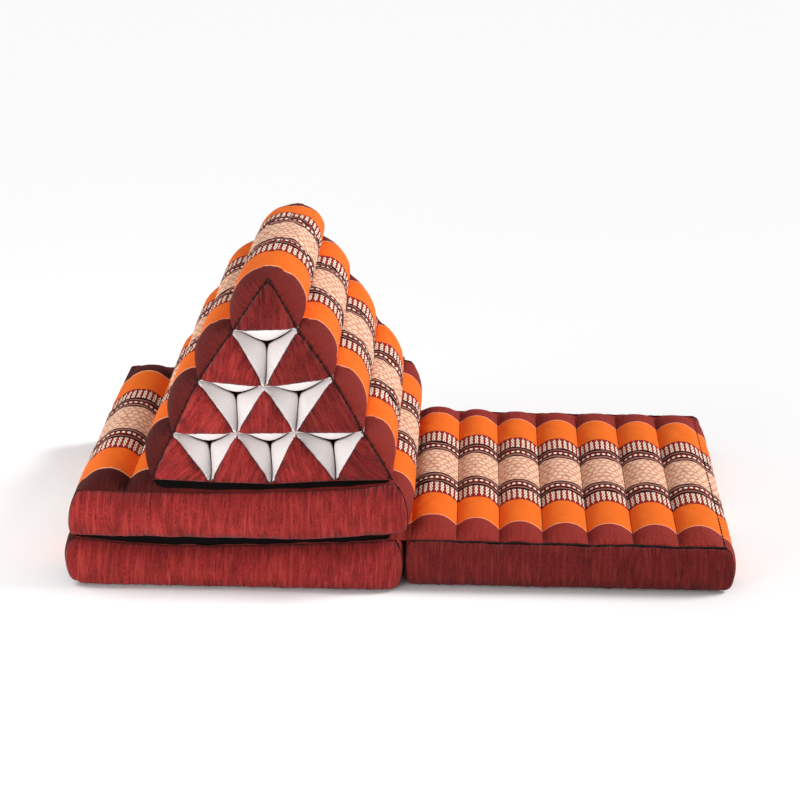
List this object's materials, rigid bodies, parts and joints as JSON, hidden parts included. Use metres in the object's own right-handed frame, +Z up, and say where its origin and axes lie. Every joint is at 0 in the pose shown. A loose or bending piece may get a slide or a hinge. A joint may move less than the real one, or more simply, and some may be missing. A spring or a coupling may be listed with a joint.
{
  "type": "thai triangle cushion",
  "caption": "Folding floor cushion of channelled pads with a triangular backrest of stuffed rolls, whose sewn ends leave white pockets between red triangles.",
  "frame": {"origin": "middle of the base of the folded cushion's box, on the floor", "axes": "+X from the folded pads under the backrest to the open seat pad, +Y from the front ends of the rolls to their back ends, +Z up"},
  "size_m": [0.9676, 0.5696, 0.4578],
  "materials": {
    "striped_cloth": "woven cotton, dull sheen",
    "end_cloth": "slubbed cotton, matt",
    "pocket_cloth": "plain white calico, matt"
  },
  "bodies": {
    "root": {"pad_seat": "striped_cloth", "pad_middle": "striped_cloth", "pad_upper": "striped_cloth", "roll_1_1": "striped_cloth", "roll_2_1": "striped_cloth", "roll_2_2": "striped_cloth", "roll_3_1": "striped_cloth", "roll_3_2": "striped_cloth", "roll_3_3": "striped_cloth", "roll_4_1": "striped_cloth", "roll_4_2": "striped_cloth", "roll_4_3": "striped_cloth", "roll_4_4": "striped_cloth", "panel_seat_front": "end_cloth", "panel_seat_back": "end_cloth", "panel_middle_front": "end_cloth", "panel_middle_back": "end_cloth", "panel_upper_front": "end_cloth", "panel_upper_back": "end_cloth", "end_front_1_1": "end_cloth", "end_front_2_1": "end_cloth", "end_front_2_2": "end_cloth", "end_front_3_1": "end_cloth", "end_front_3_2": "end_cloth", "end_front_3_3": "end_cloth", "end_front_4_1": "end_cloth", "end_front_4_2": "end_cloth", "end_front_4_3": "end_cloth", "end_front_4_4": "end_cloth", "end_back_1_1": "end_cloth", "end_back_2_1": "end_cloth", "end_back_2_2": "end_cloth", "end_back_3_1": "end_cloth", "end_back_3_2": "end_cloth", "end_back_3_3": "end_cloth", "end_back_4_1": "end_cloth", "end_back_4_2": "end_cloth", "end_back_4_3": "end_cloth", "end_back_4_4": "end_cloth"}
  },
  "joints": []
}
